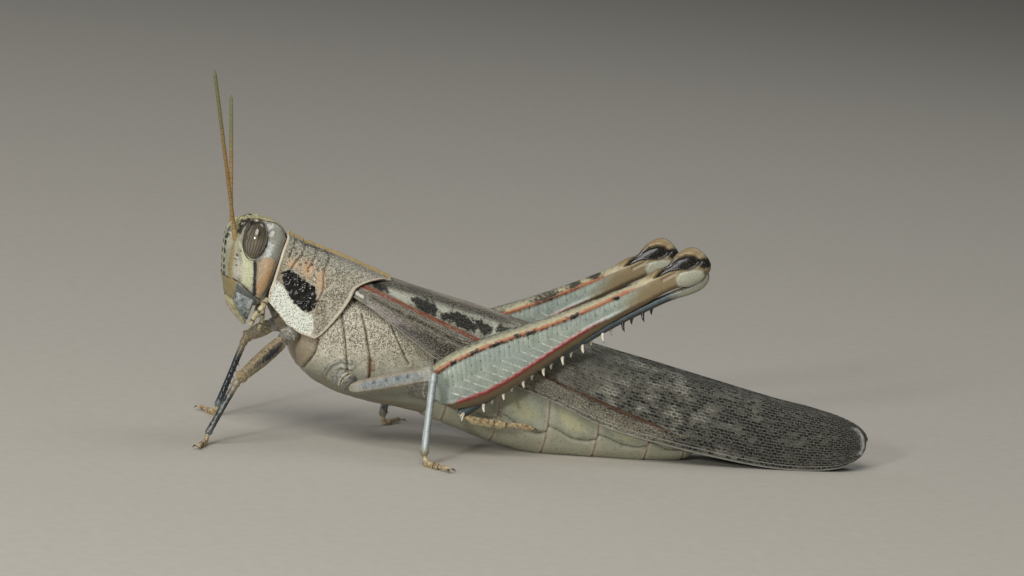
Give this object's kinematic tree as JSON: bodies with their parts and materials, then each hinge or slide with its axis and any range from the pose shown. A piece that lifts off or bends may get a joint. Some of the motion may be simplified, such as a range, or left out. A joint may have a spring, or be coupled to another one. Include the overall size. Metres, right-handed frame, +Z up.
{
  "type": "grasshopper",
  "caption": "Life-size model of an adult bird grasshopper standing with closed wings, raised antennae and folded, spined hind legs.",
  "frame": {"origin": "centre of the bounding box's bottom, on the ground it stands on", "axes": "+Z up, +Y towards the tail and wing tips, +X to the animal's left; the head faces -Y"},
  "size_m": [0.0279, 0.069, 0.0343],
  "materials": {
    "head": "waxy, finely pitted cuticle, satin",
    "eye": "glossy facetted cornea over brown and grey stripes",
    "feeler": "jointed satin cuticle",
    "mouth": "satin cuticle with dark edges",
    "pronotum": "rough pitted cuticle, satin",
    "thorax": "speckled satin cuticle",
    "abdomen": "soft satin cuticle",
    "tegmen": "leathery veined forewing, satin with a slight sheen",
    "wing": "thin membrane, satin",
    "leg": "satin cuticle",
    "femur": "satin cuticle with a chevron relief",
    "tibia": "satin cuticle with pale, dark-tipped spines",
    "tarsus": "satin cuticle with soft pads"
  },
  "bodies": {
    "root": {"head": "head", "eye_left": "eye", "eye_right": "eye", "antenna_left": "feeler", "antenna_right": "feeler", "labrum": "mouth", "labium": "mouth", "mandible_left": "mouth", "mandible_right": "mouth", "palp_left": "mouth", "palp_right": "mouth", "pronotum": "pronotum", "thorax": "thorax", "abdomen": "abdomen", "ovipositor": "abdomen", "tegmen_left": "tegmen", "tegmen_right": "tegmen", "hind_wing_left": "wing", "hind_wing_right": "wing", "front_coxa_left": "thorax", "front_femur_left": "leg", "front_tibia_left": "tibia", "front_tarsus_left": "tarsus", "front_coxa_right": "thorax", "front_femur_right": "leg", "front_tibia_right": "tibia", "front_tarsus_right": "tarsus", "middle_coxa_left": "thorax", "middle_femur_left": "leg", "middle_tibia_left": "tibia", "middle_tarsus_left": "tarsus", "middle_coxa_right": "thorax", "middle_femur_right": "leg", "middle_tibia_right": "tibia", "middle_tarsus_right": "tarsus", "hind_coxa_left": "thorax", "hind_femur_left": "femur", "hind_tibia_left": "tibia", "hind_tarsus_left": "tarsus", "hind_coxa_right": "thorax", "hind_femur_right": "femur", "hind_tibia_right": "tibia", "hind_tarsus_right": "tarsus"}
  },
  "joints": []
}
